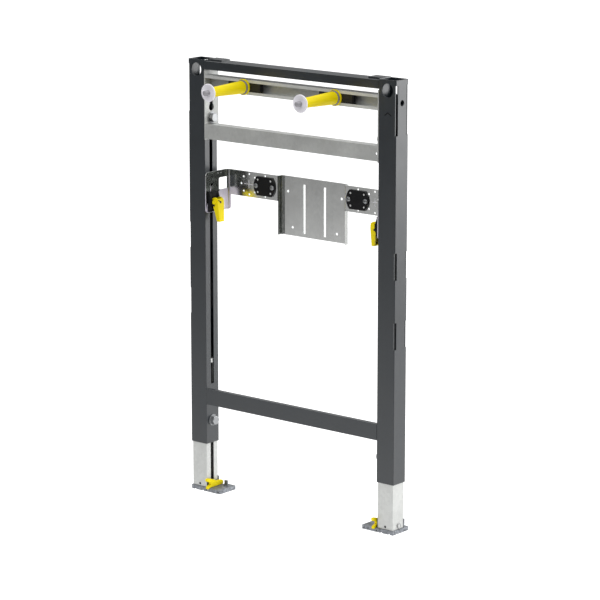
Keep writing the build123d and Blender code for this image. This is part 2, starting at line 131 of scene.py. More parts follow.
def mottleGroup():
    inputs = [
        ("Size mm", "NodeSocketFloat", 30.0), ("Amount", "NodeSocketFloat", 0.1),
        ("Colour", "NodeSocketColor", (0.5, 0.5, 0.5, 1.0)),
    ]
    outputs = [("Colour", "NodeSocketColor"), ("Value", "NodeSocketFloat")]
    group, start, end = makeGroup("mottle", inputs, outputs)
    scale = textureScale(group, start.outputs["Size mm"])
    broad = noiseNode(group, objectPlace(group), scale, mottleValues["detail"])
    drift = rangeNode(group, broad, *mottleValues["noise"], -1.0, 1.0)
    step = mathNode(group, "MULTIPLY", drift, start.outputs["Amount"])
    factor = mathNode(group, "ADD", step, 1.0)
    group.links.new(scaleNode(group, start.outputs["Colour"], factor), end.inputs["Colour"])
    group.links.new(rangeNode(group, broad, *mottleValues["noise"]), end.inputs["Value"])
    return group


# worn edges, broken up by a fine grain
edgeWearValues = {"samples": 6, "likeness": (0.985, 0.8), "noise": (0.42, 0.62), "detail": 2.0}


def edgeWearGroup():
    v = edgeWearValues
    inputs = [("Radius mm", "NodeSocketFloat", 1.0), ("Grain mm", "NodeSocketFloat", 3.0)]
    group, start, end = makeGroup("edge wear", inputs, [("Mask", "NodeSocketFloat")])
    radius = mathNode(group, "MULTIPLY", start.outputs["Radius mm"], mm)
    soft = addNode(group, "ShaderNodeBevel", {"Radius": radius}, samples=v["samples"]).outputs[0]
    plain = addNode(group, "ShaderNodeNewGeometry").outputs["Normal"]
    compared = addNode(group, "ShaderNodeVectorMath", {0: soft, 1: plain}, operation="DOT_PRODUCT")
    edge = rangeNode(group, compared.outputs["Value"], *v["likeness"])
    fine = noiseNode(group, objectPlace(group), textureScale(group, start.outputs["Grain mm"]), v["detail"])
    broken = mathNode(group, "MULTIPLY", edge, rangeNode(group, fine, *v["noise"]), clamp=True)
    group.links.new(broken, end.inputs["Mask"])
    return group


# fine relief, pulled out along the rolling direction where the stretch says so
def grainGroup(detail=2.0):
    inputs = [("Size mm", "NodeSocketFloat", 1.0), ("Stretch", "NodeSocketVector", (1.0, 1.0, 1.0))]
    group, start, end = makeGroup("grain", inputs, [("Height", "NodeSocketFloat")])
    links = {0: objectPlace(group), 1: start.outputs["Stretch"]}
    pulled = addNode(group, "ShaderNodeVectorMath", links, operation="MULTIPLY").outputs[0]
    fine = noiseNode(group, pulled, textureScale(group, start.outputs["Size mm"]), detail)
    group.links.new(fine, end.inputs["Height"])
    return group


# patchy dust on faces that look up
dustValues = {"upward": (0.3, 1.0), "noise": (0.35, 0.7), "detail": 5.0}


def dustGroup():
    v = dustValues
    inputs = [("Patch mm", "NodeSocketFloat", 18.0)]
    group, start, end = makeGroup("dust", inputs, [("Mask", "NodeSocketFloat")])
    normal = addNode(group, "ShaderNodeNewGeometry").outputs["Normal"]
    up = addNode(group, "ShaderNodeSeparateXYZ", {0: normal}).outputs["Z"]
    patch = noiseNode(group, objectPlace(group), textureScale(group, start.outputs["Patch mm"]), v["detail"])
    upward = rangeNode(group, up, *v["upward"])
    mask = mathNode(group, "MULTIPLY", upward, rangeNode(group, patch, *v["noise"]), clamp=True)
    group.links.new(mask, end.inputs["Mask"])
    return group


# the crystals of hot-dip zinc
def spangleGroup():
    inputs = [("Size mm", "NodeSocketFloat", 7.0)]
    group, start, end = makeGroup("spangle", inputs, [("Value", "NodeSocketFloat")])
    links = {"Vector": objectPlace(group), "Scale": textureScale(group, start.outputs["Size mm"])}
    cells = addNode(group, "ShaderNodeTexVoronoi", links, feature="F1").outputs["Color"]
    group.links.new(addNode(group, "ShaderNodeSeparateColor", {0: cells}).outputs[0], end.inputs["Value"])
    return group


# painted shade: colour darkened by ambient occlusion inside hollows and holes, where shade falls
hollowValues = {"samples": 6, "openness": (0.15, 0.6)}


def hollowGroup():
    v = hollowValues
    inputs = [
        ("Reach mm", "NodeSocketFloat", 30.0), ("Darkest", "NodeSocketFloat", 0.3),
        ("Colour", "NodeSocketColor", (0.5, 0.5, 0.5, 1.0)),
    ]
    group, start, end = makeGroup("hollow shade", inputs, [("Colour", "NodeSocketColor")])
    reach = mathNode(group, "MULTIPLY", start.outputs["Reach mm"], mm)
    shaded = addNode(group, "ShaderNodeAmbientOcclusion", {"Distance": reach}, samples=v["samples"])
    factor = rangeNode(group, shaded.outputs["AO"], *v["openness"], start.outputs["Darkest"], 1.0)
    group.links.new(scaleNode(group, start.outputs["Colour"], factor), end.inputs["Colour"])
    return group


mottle = mottleGroup()
edgeWear = edgeWearGroup()
grain = grainGroup()
dust = dustGroup()
spangle = spangleGroup()
hollow = hollowGroup()

# what a finish has where it says nothing else; sizes in mm
plainFinish = {
    "metallic": 0.0, "ior": 1.5, "stretch": (1.0, 1.0, 1.0), "dustPatch": 18.0,
    "darkest": 0.25, "hollowReach": 35.0,
}


def makeMaterial(name, finish):
    v = {**plainFinish, **finish}
    material = bpy.data.materials.new(name)
    material.use_nodes = True
    tree = material.node_tree
    shader = tree.nodes["Principled BSDF"]
    links = {"Size mm": v["mottleSize"], "Amount": v["mottle"], "Colour": (*v["colour"], 1.0)}
    tone = useGroup(tree, mottle, links)
    base = tone.outputs["Colour"]
    smoother, rougher = v["roughness"] - v["roughSpread"], v["roughness"] + v["roughSpread"]
    rough = rangeNode(tree, tone.outputs["Value"], 0.0, 1.0, smoother, rougher)
    if "spangle" in v:
        cells = useGroup(tree, spangle, {"Size mm": v["spangleSize"]}).outputs["Value"]
        factor = rangeNode(tree, cells, 0.0, 1.0, 1.0 - v["spangle"], 1.0 + v["spangle"])
        base = scaleNode(tree, base, factor)
    if "edgeColour" in v:
        links = {"Radius mm": v["edgeRadius"], "Grain mm": v["edgeGrain"]}
        mask = useGroup(tree, edgeWear, links).outputs["Mask"]
        base = mixNode(tree, mask, v["edge"], base, v["edgeColour"])
    if "dustColour" in v:
        mask = useGroup(tree, dust, {"Patch mm": v["dustPatch"]}).outputs["Mask"]
        base = mixNode(tree, mask, v["dust"], base, v["dustColour"])
    # painted shade in hollows and holes, down to the finish's darkest share of its colour
    if v["darkest"] < 1.0:
        links = {"Reach mm": v["hollowReach"], "Darkest": v["darkest"], "Colour": base}
        base = useGroup(tree, hollow, links).outputs["Colour"]
    tree.links.new(base, shader.inputs["Base Color"])
    tree.links.new(rough, shader.inputs["Roughness"])
    height = useGroup(tree, grain, {"Size mm": v["grainSize"], "Stretch": v["stretch"]}).outputs["Height"]
    links = {"Height": height, "Strength": v["bump"], "Distance": v["bumpDepth"] * mm}
    tree.links.new(addNode(tree, "ShaderNodeBump", links).outputs[0], shader.inputs["Normal"])
    shader.inputs["Metallic"].default_value = v["metallic"]
    shader.inputs["IOR"].default_value = v["ior"]
    return material


paintValues = {
    "colour": (0.004, 0.009, 0.014), "ior": 1.85, "roughness": 0.34, "roughSpread": 0.04,
    "mottle": 0.10, "mottleSize": 60.0, "grainSize": 0.8, "bump": 0.2, "bumpDepth": 0.05,
    "edgeColour": (0.10, 0.11, 0.115), "edge": 0.3, "edgeRadius": 0.8, "edgeGrain": 4.0,
    "dustColour": (0.12, 0.12, 0.12), "dust": 0.08,
}
zincValues = {
    "colour": (0.62, 0.63, 0.615), "metallic": 0.6, "roughness": 0.36, "roughSpread": 0.06,
    "mottle": 0.06, "mottleSize": 45.0, "spangle": 0.04, "spangleSize": 6.0,
    "grainSize": 1.5, "stretch": (0.3, 1.0, 1.0), "bump": 0.12, "bumpDepth": 0.04,
    "edgeColour": (0.75, 0.76, 0.76), "edge": 0.5, "edgeRadius": 0.5, "edgeGrain": 5.0,
}
# lit and shaded copies of the traverse's zinc: a shiny rolled front; a duller, darker matte copy on the
# rear, outer and top faces, painted light and shade; a dark copy on the inner faces, painted shade; and a
# pale lilac matte copy where the legs end, painted light
sheetValues = {
    **zincValues, "colour": (0.93, 0.94, 0.925), "metallic": 1.0, "roughness": 0.18, "roughSpread": 0.02,
    "mottle": 0.03, "bump": 0.0, "darkest": 1.0,
}
sheetBackValues = {
    **zincValues, "colour": (0.5, 0.51, 0.5), "metallic": 0.2, "roughness": 0.5, "darkest": 1.0,
}
sheetInnerValues = {**sheetValues, "colour": (0.27, 0.29, 0.27), "roughness": 0.22}
legEndValues = {**sheetBackValues, "colour": (0.66, 0.62, 0.72), "metallic": 0.0}
# a lighter matte copy of the sheet's zinc for the tap holes, painted light
tapHoleZincValues = {**sheetBackValues, "colour": (0.75, 0.76, 0.75), "metallic": 0.0}
railZincValues = {**zincValues, "metallic": 0.35, "roughness": 0.4, "darkest": 1.0}
yellowValues = {
    "colour": (0.93, 0.75, 0.0), "ior": 1.3, "roughness": 0.5, "roughSpread": 0.04,
    "mottle": 0.03, "mottleSize": 20.0, "grainSize": 0.6, "bump": 0.1, "bumpDepth": 0.03,
    "edgeColour": (1.0, 0.86, 0.12), "edge": 0.3, "edgeRadius": 0.4, "edgeGrain": 3.0,
}
paleValues = {
    "colour": (0.96, 0.94, 1.0), "roughness": 0.45, "roughSpread": 0.05, "darkest": 0.6,
    "mottle": 0.02, "mottleSize": 15.0, "grainSize": 0.8, "bump": 0.15, "bumpDepth": 0.03,
}
blackValues = {
    "colour": (0.006, 0.006, 0.007), "ior": 1.3, "roughness": 0.42, "roughSpread": 0.06,
    "mottle": 0.15, "mottleSize": 15.0, "grainSize": 0.5, "bump": 0.3, "bumpDepth": 0.04,
    "edgeColour": (0.05, 0.05, 0.055), "edge": 0.5, "edgeRadius": 0.6, "edgeGrain": 3.0,
}
rubberValues = {
    "colour": (0.24, 0.24, 0.27), "roughness": 0.6, "roughSpread": 0.06,
    "mottle": 0.1, "mottleSize": 12.0, "grainSize": 0.5, "bump": 0.3, "bumpDepth": 0.04,
}
castingValues = {
    "colour": (0.25, 0.265, 0.29), "metallic": 0.4, "roughness": 0.5, "roughSpread": 0.1,
    "mottle": 0.5, "mottleSize": 5.0, "grainSize": 1.6, "bump": 0.6, "bumpDepth": 0.15,
    "edgeColour": (0.55, 0.57, 0.6), "edge": 0.6, "edgeRadius": 0.8, "edgeGrain": 3.0,
    "dustColour": (0.05, 0.055, 0.045), "dust": 0.75,
}
blackNutValues = {
    "colour": (0.012, 0.012, 0.012), "metallic": 0.3, "roughness": 0.4, "roughSpread": 0.08,
    "mottle": 0.2, "mottleSize": 8.0, "grainSize": 0.8, "bump": 0.3, "bumpDepth": 0.05,
    "edgeColour": (0.10, 0.10, 0.10), "edge": 0.5, "edgeRadius": 0.6, "edgeGrain": 3.0,
}
screwValues = {
    **zincValues, "colour": (0.36, 0.37, 0.38), "metallic": 0.8, "roughness": 0.3,
    "spangle": 0.0, "stretch": (1.0, 1.0, 1.0),
}
# bright bare steel of the posts' top seams: a weld bead, and a painted highlight
seamHighlightValues = {**screwValues, "colour": (0.56, 0.58, 0.58), "roughness": 0.28}
studSteelValues = {**screwValues, "colour": (0.40, 0.39, 0.42), "metallic": 0.3, "roughness": 0.5}

materials = {
    "frame_paint": makeMaterial("framePaint", paintValues),
    "galvanised": makeMaterial("galvanised", zincValues),
    "yellow_plastic": makeMaterial("yellowPlastic", yellowValues),
    "pale_plastic": makeMaterial("palePlastic", paleValues),
    "black_plastic": makeMaterial("blackPlastic", blackValues),
    "grey_rubber": makeMaterial("greyWasher", rubberValues),
    "foot_casting": makeMaterial("footCasting", castingValues),
    "black_nut": makeMaterial("blackNut", blackNutValues),
}
zincSheet = makeMaterial("zincSheet", sheetValues)
sheetBack = makeMaterial("sheetBack", sheetBackValues)
legEnd = makeMaterial("legEnd", legEndValues)
sheetInnerShade = makeMaterial("sheetInnerShade", sheetInnerValues)
tapHoleLitZinc = makeMaterial("tapHoleLitZinc", tapHoleZincValues)
railZinc = makeMaterial("railZinc", railZincValues)
studSteel = makeMaterial("studSteel", studSteelValues)
screwSteel = makeMaterial("screwSteel", screwValues)
seamHighlightSteel = makeMaterial("seamHighlightSteel", seamHighlightValues)

slotOf = {part["node"]: part["material_slot"] for part in frame["record"]["subparts"]}
ownFinish = {
    "traverse": zincSheet, "fixing_rail": railZinc,
    "left_rail_bracket": sheetBack, "right_rail_bracket": sheetBack,
}
for name, piece in nodes.items():
    piece.data.materials.clear()
    piece.data.materials.append(ownFinish.get(name, materials[slotOf[name]]))

# lit and shaded copies of the traverse's finish, given by the way its faces look; "facing" is the least
# share of the normal that counts
traverseValues = {"facing": 0.5, "legEndTop": 577.0, "legInside": 170.0}
traverseSlots = {"front": 0, "back": 1, "legEnd": 2, "inner": 3}


def finishTraverse():
    v = traverseValues
    facing = v["facing"]
    sheet = nodes["traverse"].data
    for finish in (sheetBack, legEnd, sheetInnerShade):
        sheet.materials.append(finish)
    for face in sheet.polygons:
        outward = math.copysign(1.0, face.center.x) * face.normal.x
        onLeg = abs(face.center.x) > v["legInside"] * mm
        # lower leg faces: the pale matte copy, painted light
        if onLeg and face.center.z < v["legEndTop"] * mm and face.normal.z < facing:
            face.material_index = traverseSlots["legEnd"]
        # inner faces: the dark copy, painted shade
        elif outward < -facing:
            face.material_index = traverseSlots["inner"]
        # rear, outer and top faces: the duller matte copy, painted light and shade
        elif max(outward, face.normal.y, face.normal.z) > facing:
            face.material_index = traverseSlots["back"]


finishTraverse()
print("materials made")

# mesh helpers: meshes are built in metres in the part's own frame, from values in mm
thinBore = 0.1  # radius that a filled turned shape keeps at its axis
forward = (0, -1, 0)
rearward = (0, 1, 0)


def newPiece(name, mesh, material, body, smooth=35.0):
    bmesh.ops.recalc_face_normals(mesh, faces=mesh.faces[:])
    data = bpy.data.meshes.new(name)
    mesh.to_mesh(data)
    mesh.free()
    piece = bpy.data.objects.new(name, data)
    bpy.context.scene.collection.objects.link(piece)
    data.materials.append(material)
    data.shade_smooth()
    data.set_sharp_from_angle(angle=math.radians(smooth))
    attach(piece, body)
    return piece


# each face of a box: its axis, and the low or the high end of it
faceEnds = {"left": (0, 0), "right": (0, 1), "front": (1, 0), "rear": (1, 1)}


def faceOf(node, face):
    # the middle of one face of a node's box
    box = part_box(node)
    axis, end = faceEnds[face]
    middle = (box[0] + box[1]) / 2
    middle[axis] = box[end][axis]
    return middle


def depthOf(node):
    low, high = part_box(node)
    return (high.y - low.y) / mm


def axes(direction):
    along = Vector(direction).normalized()
    across = Vector((1, 0, 0)) if abs(along.z) > 0.9 else Vector((0, 0, 1))  # never along the axis itself
    return along, across, along.cross(across).normalized()


def pointAt(origin, basis, turn, radius, reach):
    # a point about an axis: turn in radians round it, radius out from it, reach along it
    along, across, other = basis
    spread = across * math.cos(turn) + other * math.sin(turn)
    return origin + (along * reach + spread * radius) * mm


def circle(origin, basis, radius, reach, count, shift=0.0):
    return [pointAt(origin, basis, 2 * math.pi * (k + shift) / count, radius, reach) for k in range(count)]


def joinLoops(mesh, loops):
    for low, high in zip(loops, loops[1:]):
        count = len(low)
        for k in range(count):
            mesh.faces.new((low[k], low[(k + 1) % count], high[(k + 1) % count], high[k]))


def skinRings(mesh, rings, capEnd=True):
    loops = [[mesh.verts.new(point) for point in ring] for ring in rings]
    joinLoops(mesh, loops)
    mesh.faces.new(loops[0])
    if capEnd:
        mesh.faces.new(loops[-1])
    return loops


def turned(profile, centre, direction, count, bored=False):
    # profile: pairs of radius and reach along the axis
    mesh = bmesh.new()
    basis = axes(direction)
    rings = [circle(Vector(centre), basis, radius, reach, count) for radius, reach in profile]
    if bored:
        loops = [[mesh.verts.new(point) for point in ring] for ring in rings]
        joinLoops(mesh, loops + [loops[0]])
    else:
        skinRings(mesh, rings)
    return mesh


def makePlug(name, centre, direction, values, material, body):
    # a filled round plug; "span" says how far along the direction it starts and ends
    start, end = values["span"]
    profile = [(thinBore, start), (values["radius"], start), (values["radius"], end), (thinBore, end)]
    newPiece(name, turned(profile, centre, direction, values["count"]), material, body)


# basin studs: yellow sleeve, grey ring, pale disc and threaded stud
roundCount = 64  # sides of the large round pieces
sleeveValues = {
    "flange": 15.0, "flangeThick": 4.0, "neck": 8.0, "ringThick": 3.0, "base": 12.0, "tip": 8.5,
    "reach": 98.0, "bore": 5.5, "round": 0.6,
}


def makeSleeve(side):
    v = sleeveValues
    edge = v["round"]
    flangeTop = v["flangeThick"]
    coneBase = flangeTop + v["ringThick"]
    profile = [
        (v["bore"], 0.0), (v["flange"] - edge, 0.0), (v["flange"], edge), (v["flange"], flangeTop - edge),
        (v["flange"] - edge, flangeTop), (v["neck"], flangeTop), (v["neck"], coneBase),
        (v["base"] - edge, coneBase), (v["base"], coneBase + edge), (v["tip"], v["reach"] - edge / 2),
        (v["tip"] - edge / 2, v["reach"]), (v["bore"], v["reach"]),
    ]
    mesh = turned(profile, faceOf(side + "_sleeve", "rear"), forward, roundCount, True)
    yellow = materials["yellow_plastic"]
    piece = newPiece(side + "Sleeve", mesh, yellow, side + "_stud_set")
    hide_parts(side + "_sleeve")


ringValues = {"radius": 13.5, "bore": 8.0, "round": 0.7}


def makeSleeveRing(side):
    v = ringValues
    thick, edge = depthOf(side + "_sleeve_ring"), v["round"]
    profile = [
        (v["bore"], 0.0), (v["radius"] - edge, 0.0), (v["radius"], edge), (v["radius"], thick - edge),
        (v["radius"] - edge, thick), (v["bore"], thick),
    ]
    mesh = turned(profile, faceOf(side + "_sleeve_ring", "rear"), forward, roundCount, True)
    rubber = materials["grey_rubber"]
    piece = newPiece(side + "SleeveRing", mesh, rubber, side + "_stud_set")
    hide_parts(side + "_sleeve_ring")


discValues = {
    "radius": 16.5, "thick": 2.5, "round": 0.9, "corner": 0.27, "bore": 4.25,
    "rim": 2.6, "slope": 0.8, "dish": 0.5,
}


def makeSleeveDisc(side):
    v = discValues
    radius, thick, edge, corner = v["radius"], v["thick"], v["round"], v["corner"]
    dishRadius, dishTop = radius - v["rim"], thick - v["dish"]
    profile = [
        (v["bore"], 0.0), (radius - edge, 0.0), (radius - corner, corner), (radius, edge),
        (radius, thick - edge), (radius - corner, thick - corner), (radius - edge, thick),
        (dishRadius, thick), (dishRadius - v["slope"], dishTop), (v["bore"], dishTop),
    ]
    mesh = turned(profile, faceOf(side + "_sleeve_disc", "rear"), forward, roundCount, True)
    pale = materials["pale_plastic"]
    piece = newPiece(side + "SleeveDisc", mesh, pale, side + "_stud_set")
    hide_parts(side + "_sleeve_disc")


# the thread shows on the free end only
studValues = {
    "radius": 5.0, "core": 4.25, "pitch": 1.5, "depth": 0.75, "free": 9.9, "chamfer": 1.0, "runOut": 2.0,
    "stepsPerTurn": 8, "count": 40, "smooth": 50.0,
}


def makeStud(side):
    v = studValues
    front = faceOf(side + "_stud", "front")
    basis = (Vector(rearward), Vector((1, 0, 0)), Vector((0, 0, 1)))
    step = v["pitch"] / v["stepsPerTurn"]
    rings = []
    for k in range(int(v["free"] / step) + 1):
        reach = k * step
        chamfered = v["radius"] - v["chamfer"] + reach
        runOut = v["radius"] - v["depth"] + (v["free"] - reach) * v["runOut"]
        ring = []
        for j in range(v["count"]):
            turn = j / v["count"]
            phase = (reach / v["pitch"] - turn) % 1.0
            thread = v["radius"] - v["depth"] * (1.0 - abs(2.0 * phase - 1.0))
            ring.append(pointAt(front, basis, turn * 2 * math.pi, min(thread, chamfered, runOut), reach))
        rings.append(ring)
    for reach in (v["free"], depthOf(side + "_stud")):
        rings.append(circle(front, basis, v["core"], reach, v["count"]))
    mesh = bmesh.new()
    skinRings(mesh, rings)
    piece = newPiece(side + "Stud", mesh, studSteel, side + "_stud_set", v["smooth"])
    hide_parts(side + "_stud")


for side, sign in sides:
    makeSleeve(side)
    makeSleeveRing(side)
    makeSleeveDisc(side)
    makeStud(side)
print("stud sets made")

# hexagon screws with washers, in place of the plain ones
hexValues = {
    "flats": 16.0, "head": 7.5, "crown": 0.94, "chamfer": 0.55, "washer": 11.0, "washerThick": 1.6,
    "round": 0.4, "shank": 5.0, "tip": 0.8, "count": 36, "smooth": 25.0,
}


def makeHexScrew(node, side, sign):
    v = hexValues
    low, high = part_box(node)
    start = faceOf(node, side)
    basis = axes((-sign, 0, 0))
    headTop = (high.x - low.x) / mm
    headBase = headTop - v["head"]
    washerBack = headBase - v["washerThick"]
    edge = v["round"]
    flats = v["flats"] / 2
    crown = flats * v["crown"]

    def roundRing(reach, radius):
        return circle(start, basis, radius, reach, v["count"])

    def hexRing(reach, chamfer=0.0):
        ring = []
        for k in range(v["count"]):
            turn = 2 * math.pi * k / v["count"]
            fromFlat = (turn + math.pi / 6) % (math.pi / 3) - math.pi / 6
            radius = flats / math.cos(fromFlat)
            ring.append(pointAt(start, basis, turn, radius, reach - (radius - crown) * chamfer))
        return ring

    rings = [
        roundRing(0.0, v["shank"] - v["tip"]), roundRing(v["tip"], v["shank"]),
        roundRing(washerBack, v["shank"]), roundRing(washerBack, v["washer"] - edge),
        roundRing(washerBack + edge, v["washer"]),
        roundRing(headBase - edge, v["washer"]), roundRing(headBase, v["washer"] - edge),
        hexRing(headBase), hexRing(headTop, v["chamfer"]), roundRing(headTop, crown),
    ]
    mesh = bmesh.new()
    skinRings(mesh, rings)
    name = "".join(word.title() for word in node.split("_"))
    piece = newPiece(name, mesh, screwSteel, "frame", v["smooth"])
    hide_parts(node)


for side, sign in sides:
    makeHexScrew(side + "_bracket_bolt", side, sign)
    makeHexScrew(side + "_foot_screw", side, sign)
print("hex screws made")

# domed screws of the tap plates, heads to the front; "dome" holds pairs of radius and height
tapScrewValues = {
    "spread": 19.5, "dome": ((4.6, 0.0), (4.6, 0.7), (4.14, 1.5), (3.22, 2.25)), "head": 2.4,
    "cross": 2.6, "crossWidth": 0.95, "crossDepth": 1.4, "crossTaper": 0.75, "count": 32, "smooth": 30.0,
}


def makeTapScrew(name, place):
    v = tapScrewValues
    basis = (Vector(forward), Vector((1, 0, 0)), Vector((0, 0, 1)))
    mesh = bmesh.new()
    rings = [circle(place, basis, radius, height, v["count"], shift=0.5) for radius, height in v["dome"]]
    rim = skinRings(mesh, rings, capEnd=False)[-1]
    arm, half = v["cross"], v["crossWidth"] / 2
    outline = [
        (arm, -half), (arm, half), (half, half), (half, arm), (-half, arm), (-half, half),
        (-arm, half), (-arm, -half), (-half, -half), (-half, -arm), (half, -arm), (half, -half),
    ]

    def crossLoop(height, scale):
        return [mesh.verts.new(place + Vector((x * scale, -height, z * scale)) * mm) for x, z in outline]

    lip = crossLoop(v["head"], 1.0)
    recess = crossLoop(v["head"] - v["crossDepth"], v["crossTaper"])
    joinLoops(mesh, [lip, recess])
    mesh.faces.new(recess)
    flat = [[Vector((vert.co.x, vert.co.z, 0)) for vert in loop] for loop in (rim, lip)]
    verts = rim + lip
    for corners in tessellate_polygon(flat):
        mesh.faces.new([verts[k] for k in corners])
    newPiece(name, mesh, screwSteel, "traverse", v["smooth"])


for side, sign in sides:
    plate = faceOf(side + "_tap_plate", "front")
    step = Vector((sign * tapScrewValues["spread"] * mm, 0, 0))
    makeTapScrew(side + "TapScrewOuter", plate + step)
    makeTapScrew(side + "TapScrewInner", plate - step)

# pale discs in the tap plates' four small holes, where the sheet shows through: a lighter matte copy of the
# sheet's zinc, painted light
tapHoleValues = {"radius": 2.05, "span": (0.0, 1.5), "count": 20, "reach": 19.5, "turn": 37.0, "depth": 0.6}


def makeTapHoles(side):
    v = tapHoleValues
    plate = faceOf(side + "_tap_plate", "front")
    turn = math.radians(v["turn"])
    across, upward = v["reach"] * math.cos(turn), v["reach"] * math.sin(turn)
    for k, (dx, dz) in enumerate(((-1, -1), (-1, 1), (1, -1), (1, 1))):
        place = plate + Vector((dx * across, v["depth"], dz * upward)) * mm
        name = side + "TapHoleLitBottom" + str(k + 1)
        # painted light: a pale disc in the hole
        makePlug(name, place, rearward, v, tapHoleLitZinc, "traverse")


for side, sign in sides:
    makeTapHoles(side)
print("tap screws made")


def makeBar(mesh, centre, size, turn=0.0):
    # a thin plate lying in the XZ plane, turned about Y
    hx, hy, hz = (value * mm / 2 for value in size)
    spin = Matrix.Rotation(turn, 3, "Y")
    corners = [Vector((x, y, z)) for y in (-hy, hy) for x, z in ((-hx, -hz), (hx, -hz), (hx, hz), (-hx, hz))]
    verts = [mesh.verts.new(Vector(centre) + spin @ corner) for corner in corners]
    for face in ((0, 1, 2, 3), (4, 5, 6, 7), (0, 1, 5, 4), (1, 2, 6, 5), (2, 3, 7, 6), (3, 0, 4, 7)):
        mesh.faces.new([verts[k] for k in face])


# scribed centre crosses in the middle of the open hole circles
crossValues = {"spread": 150.5, "width": 22.0, "height": 16.0, "line": 0.8, "proud": 0.15}


def makeCross(side, sign):
    v = crossValues
    plate = faceOf(side + "_tap_plate", "rear")
    x, y, z = sign * v["spread"] * mm, plate.y - v["proud"] * mm / 2, plate.z
    rise = (v["height"] + v["line"]) / 4 * mm
    mesh = bmesh.new()
    makeBar(mesh, (x, y, z), (v["width"], v["proud"], v["line"]))
    for half in (1, -1):
        makeBar(mesh, (x, y, z + half * rise), (v["line"], v["proud"], (v["height"] - v["line"]) / 2))
    newPiece(side + "CentreCross", mesh, materials["pale_plastic"], "traverse")


for side, sign in sides:
    makeCross(side, sign)

# the mark on the front of the right post
markValues = {"points": ((219.6, 771.0), (226.4, 776.7), (234.7, 771.3)), "line": 1.8, "proud": 0.12}


def makeUpMark():
    v = markValues
    y = faceOf("right_post", "front").y - v["proud"] * mm / 2
    mesh = bmesh.new()
    for (x0, z0), (x1, z1) in zip(v["points"], v["points"][1:]):
        size = (math.hypot(x1 - x0, z1 - z0), v["proud"], v["line"])
        makeBar(mesh, ((x0 + x1) / 2 * mm, y, (z0 + z1) / 2 * mm), size, -math.atan2(z1 - z0, x1 - x0))
    newPiece("rightUpMark", mesh, materials["black_plastic"], "frame")


makeUpMark()

# thin cover plates at the ends of the top crossbar, in place of the plain blocks
coverValues = {"thick": 3.0, "round": 0.5}


def makeCoverPlate(side):
    v = coverValues
    low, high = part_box(side + "_weld_plate")
    rings = []
    for inset, rise in ((0.0, 0.0), (0.0, v["thick"] - v["round"]), (v["round"], v["thick"])):
        x0, x1 = low.x + inset * mm, high.x - inset * mm
        y0, y1 = low.y + inset * mm, high.y - inset * mm
        z = low.z + rise * mm
        rings.append([Vector((x, y, z)) for x, y in ((x0, y0), (x1, y0), (x1, y1), (x0, y1))])
    mesh = bmesh.new()
    skinRings(mesh, rings)
    piece = newPiece(side + "CoverPlate", mesh, materials["frame_paint"], "frame")
    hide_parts(side + "_weld_plate")


# weld beads: a rippled tube between two points, thinner at its ends
beadValues = {"ripple": 0.25, "pitch": 2.2, "step": 0.5, "endSize": 0.3, "count": 10, "smooth": 60.0}


def makeBead(name, start, end, radius, material):
    v = beadValues
    start, end = Vector(start) * mm, Vector(end) * mm
    length = (end - start).length / mm
    basis = axes(end - start)
    steps = int(length / v["step"])
    rings = []
    for k in range(steps + 1):
        reach = length * k / steps
        fromEnd = min(reach, length - reach)
        ripple = 1.0 - v["ripple"] * abs(math.sin(math.pi * reach / v["pitch"]))
        size = radius * min(1.0, v["endSize"] + fromEnd / radius) * ripple
        rings.append(circle(start, basis, size, reach, v["count"]))
    mesh = bmesh.new()
    skinRings(mesh, rings)
    newPiece(name, mesh, material, "frame", v["smooth"])


# where the beads lie, from the posts' inner faces and the crossbars' edges
seamPlaces = {
    "topRadius": 1.15, "topOut": 0.6, "topEnds": 1.5, "topSink": 0.5,
    "barRadius": 1.0, "barFrom": 1.0, "barTo": 10.0, "topBarSink": 0.3, "topBarEnds": 2.0,
}


def makeBeads(side, sign):
    v = seamPlaces
    paint = materials["frame_paint"]
    postLow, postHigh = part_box(side + "_post")
    x = faceOf(side + "_post", opposite[side]).x / mm
    topX, topZ = x + sign * v["topOut"], postHigh.z / mm - v["topSink"]
    front, back = postLow.y / mm + v["topEnds"], postHigh.y / mm - v["topEnds"]
    # the top seam: a weld bead whose bright steel is a painted highlight along the post's top inner edge
    makeBead(side + "TopSeamHighlight", (topX, front, topZ), (topX, back, topZ), v["topRadius"], seamHighlightSteel)

    def makeBarSeam(name, y, z0, z1):
        makeBead(side + name, (x, y, z0), (x, y, z1), v["barRadius"], paint)

    low, high = (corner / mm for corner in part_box("lower_crossbar"))
    makeBarSeam("BarSeamBelow", high.y, low.z + v["barFrom"], low.z + v["barTo"])
    makeBarSeam("BarSeamAbove", high.y, high.z - v["barTo"], high.z - v["barFrom"])
    low, high = (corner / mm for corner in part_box("top_crossbar"))
    makeBarSeam("TopBarSeam", high.y - v["topBarSink"], low.z + v["topBarEnds"], high.z - v["topBarEnds"])


for side, sign in sides:
    makeCoverPlate(side)
    makeBeads(side, sign)
print("cover plates and seams made")

# feet: a darker steel ring round the pin head, the rivet's rim with the shade of the groove round it painted
# in; a dark disc painted as the shade inside the front hole; and dark discs painted as the shade inside
# small recesses along the plate
pinRimShadeValues = {"inner": 3.1, "outer": 4.5, "sunk": 0.3, "proud": 0.2, "count": 32}
holeShadeValues = {"radius": 2.62, "span": (0.9, 3.0), "count": 24, "rise": 12.8}
plateRecessShadeValues = {"radius": 1.3, "span": (-0.1, 0.5), "count": 16, "places": (178.0, 207.0), "rise": 3.0}


